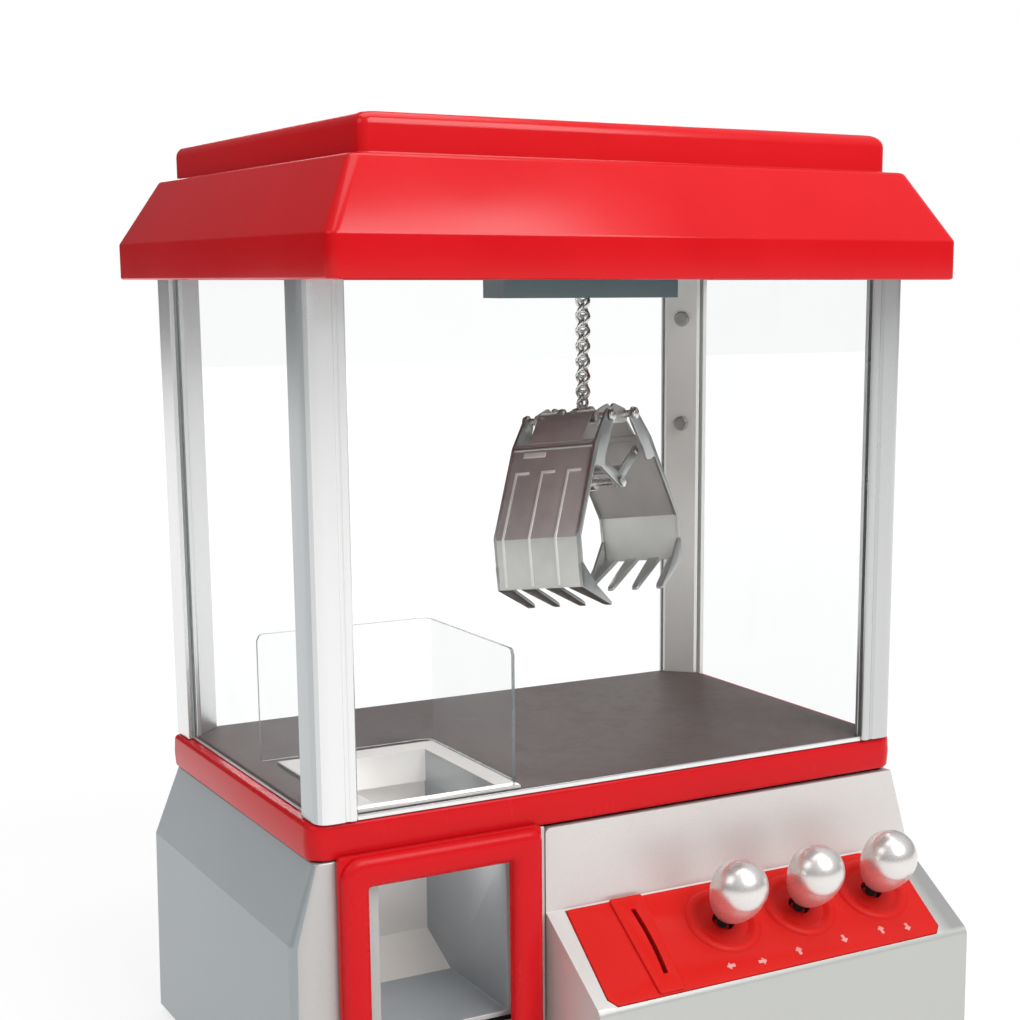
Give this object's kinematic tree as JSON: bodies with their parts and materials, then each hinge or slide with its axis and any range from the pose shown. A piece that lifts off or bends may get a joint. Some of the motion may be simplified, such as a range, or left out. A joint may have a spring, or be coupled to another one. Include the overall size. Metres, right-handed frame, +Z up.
{
  "type": "claw crane machine",
  "caption": "Table-top claw crane with glazed cabin, red canopy, hanging clamshell claw on a travelling gantry, joystick console, coin slot and hinged prize door.",
  "frame": {"origin": "centre of the footprint box, on the surface the feet stand on", "axes": "+Z up, front (console and prize door) towards -Y, +X to the right of a player standing in front"},
  "size_m": [0.2798, 0.2489, 0.3694],
  "materials": {
    "red_plastic": "glossy injection-moulded ABS, bright red",
    "silver_plastic": "satin silver paint with fine metallic flake",
    "side_silver": "satin silver paint with fine metallic flake",
    "post_white": "satin pale silver extrusion with shallow flutes",
    "dark_plastic": "dark grey moulded plastic, fine spark-eroded grain",
    "slate_plastic": "slate grey moulded plastic",
    "black_plastic": "black moulded plastic",
    "chute_plastic": "light grey moulded plastic",
    "white_gear": "natural acetal",
    "clear_acrylic": "clear acrylic sheet, polished faces, cut edges",
    "foot_rubber": "soft black rubber",
    "claw_zinc": "satin plated zinc alloy",
    "bright_steel": "bright ground steel",
    "motor_can": "drawn steel can",
    "pcb": "green solder mask",
    "battery_wrap": "plain printed sleeve without any mark",
    "knob_silver": "satin silver painted plastic"
  },
  "bodies": {
    "cabinet": {"base_shell": "side_silver", "base_plate": "dark_plastic", "foot_fl": "foot_rubber", "foot_fr": "foot_rubber", "foot_bl": "foot_rubber", "foot_br": "foot_rubber", "battery_1": "battery_wrap", "battery_2": "battery_wrap", "battery_3": "battery_wrap", "belt_frame": "red_plastic", "post_fl": "post_white", "post_fr": "post_white", "post_bl": "post_white", "post_br": "post_white", "post_screw_lower": "bright_steel", "post_screw_upper": "bright_steel", "deck": "dark_plastic", "prize_chute": "chute_plastic", "chute_guard": "clear_acrylic", "window_front": "clear_acrylic", "window_back": "clear_acrylic", "window_left": "clear_acrylic", "window_right": "clear_acrylic", "canopy": "red_plastic", "ceiling_frame": "dark_plastic", "rail_left": "bright_steel", "rail_right": "bright_steel", "console_shell": "silver_plastic", "control_panel": "red_plastic", "coin_chute": "black_plastic", "circuit_board": "pcb", "speaker": "black_plastic"},
    "bridge": {"carriage_left": "slate_plastic", "carriage_right": "slate_plastic", "cross_rod_front": "bright_steel", "cross_rod_back": "bright_steel", "bridge_motor": "motor_can"},
    "bridge_gear": {"bridge_pinion": "white_gear"},
    "trolley": {"trolley_housing": "slate_plastic", "hoist_motor": "motor_can", "trolley_motor": "motor_can"},
    "trolley_gear": {"trolley_pinion": "white_gear"},
    "winch": {"winch_drum": "white_gear"},
    "hoist": {"chain": "bright_steel"},
    "claw": {"claw_head": "claw_zinc", "hinge_bar_left": "bright_steel", "hinge_bar_right": "bright_steel"},
    "claw_shell_left": {"shell_left": "claw_zinc"},
    "claw_shell_right": {"shell_right": "claw_zinc"},
    "claw_collar": {"toggle_pin": "bright_steel"},
    "claw_toggle_left": {"toggle_left": "claw_zinc"},
    "claw_toggle_right": {"toggle_right": "claw_zinc"},
    "stick_1": {"joystick_1": "knob_silver"},
    "stick_2": {"joystick_2": "knob_silver"},
    "stick_3": {"joystick_3": "knob_silver"},
    "door": {"prize_door": "red_plastic", "door_pane": "clear_acrylic"},
    "coin_switch": {"coin_lever": "bright_steel"},
    "power": {"power_switch": "black_plastic"},
    "battery_cover": {"battery_door": "dark_plastic"}
  },
  "joints": [
    {"name": "bridge_slide", "type": "slide", "parent": "cabinet", "child": "bridge", "axis": [0, 1, 0], "range_m": [-0.018, 0.018]},
    {"name": "trolley_slide", "type": "slide", "parent": "bridge", "child": "trolley", "axis": [1, 0, 0], "range_m": [-0.084, 0.028]},
    {"name": "bridge_gear_spin", "type": "hinge", "parent": "bridge", "child": "bridge_gear", "pos_m": [0.1052, -0.004, 0.3248], "axis": [0, 0, 1], "range_deg": [-120, 120]},
    {"name": "trolley_gear_spin", "type": "hinge", "parent": "trolley", "child": "trolley_gear", "pos_m": [0.004, 0.01, 0.3296], "axis": [0, 1, 0], "range_deg": [-300, 880]},
    {"name": "hoist_drop", "type": "slide", "parent": "trolley", "child": "hoist", "axis": [0, 0, -1], "range_m": [-0.02, 0.034], "stiffness_N_per_m": 60},
    {"name": "winch_spin", "type": "hinge", "parent": "trolley", "child": "winch", "pos_m": [0.0256, 0.0059, 0.326], "axis": [1, 0, 0], "range_deg": [-140, 220]},
    {"name": "claw_swivel", "type": "hinge", "parent": "hoist", "child": "claw", "pos_m": [0.0256, -0.0036, 0.262], "axis": [0, 0, 1], "range_deg": [-36, 18]},
    {"name": "claw_close", "type": "hinge", "parent": "claw", "child": "claw_shell_left", "pos_m": [0.01514, -0.01013, 0.25837], "axis": [0.5813, -0.806, 0.1115], "range_deg": [-3, 19], "stiffness_Nm_per_rad": 0.2},
    {"name": "claw_close_right", "type": "hinge", "parent": "claw", "child": "claw_shell_right", "pos_m": [0.03465, 0.00383, 0.25762], "axis": [-0.5813, 0.806, -0.1115], "range_deg": [-3, 19]},
    {"name": "collar_slide", "type": "slide", "parent": "claw", "child": "claw_collar", "axis": [0.0397, -0.1087, -0.9933], "range_m": [-0.004, 0.014]},
    {"name": "toggle_left_turn", "type": "hinge", "parent": "claw_collar", "child": "claw_toggle_left", "pos_m": [0.02599, -0.00614, 0.23068], "axis": [-0.5813, 0.806, -0.1115], "range_deg": [-5, 26]},
    {"name": "toggle_right_turn", "type": "hinge", "parent": "claw_collar", "child": "claw_toggle_right", "pos_m": [0.02599, -0.00614, 0.23068], "axis": [0.5813, -0.806, 0.1115], "range_deg": [-5, 26]},
    {"name": "joystick_1_tilt", "type": "hinge", "parent": "cabinet", "child": "stick_1", "pos_m": [0.033, -0.09839, 0.06235], "axis": [0, 0.8339, 0.5519], "range_deg": [-14, 14], "stiffness_Nm_per_rad": 0.15},
    {"name": "joystick_2_tilt", "type": "hinge", "parent": "cabinet", "child": "stick_2", "pos_m": [0.07, -0.09839, 0.06235], "axis": [1, 0, 0], "range_deg": [-14, 14], "stiffness_Nm_per_rad": 0.15},
    {"name": "joystick_3_tilt", "type": "hinge", "parent": "cabinet", "child": "stick_3", "pos_m": [0.107, -0.09839, 0.06235], "axis": [1, 0, 0], "range_deg": [-14, 14], "stiffness_Nm_per_rad": 0.15},
    {"name": "door_swing", "type": "hinge", "parent": "cabinet", "child": "door", "pos_m": [-0.1221, -0.0841, 0.06], "axis": [0, 0, -1], "range_deg": [0, 100]},
    {"name": "coin_lever_tilt", "type": "hinge", "parent": "cabinet", "child": "coin_switch", "pos_m": [0.006, -0.09004, 0.04701], "axis": [0, -0.8339, -0.5519], "range_deg": [0, 12], "stiffness_Nm_per_rad": 0.02},
    {"name": "power_slide", "type": "slide", "parent": "cabinet", "child": "power", "axis": [1, 0, 0], "range_m": [0, 0.004]},
    {"name": "battery_door_slide", "type": "slide", "parent": "cabinet", "child": "battery_cover", "axis": [0, -1, 0], "range_m": [0, 0.012]}
  ],
  "couplings": [
    {"joint": "bridge_gear_spin", "follows": "bridge_slide", "rad_per_m": -105},
    {"joint": "trolley_gear_spin", "follows": "trolley_slide", "rad_per_m": -178},
    {"joint": "winch_spin", "follows": "hoist_drop", "rad_per_m": 105},
    {"joint": "claw_close_right", "follows": "claw_close", "ratio": 1},
    {"joint": "collar_slide", "follows": "claw_close", "m_per_rad": 0.03558},
    {"joint": "toggle_left_turn", "follows": "claw_close", "ratio": 1.2},
    {"joint": "toggle_right_turn", "follows": "claw_close", "ratio": 1.2}
  ]
}
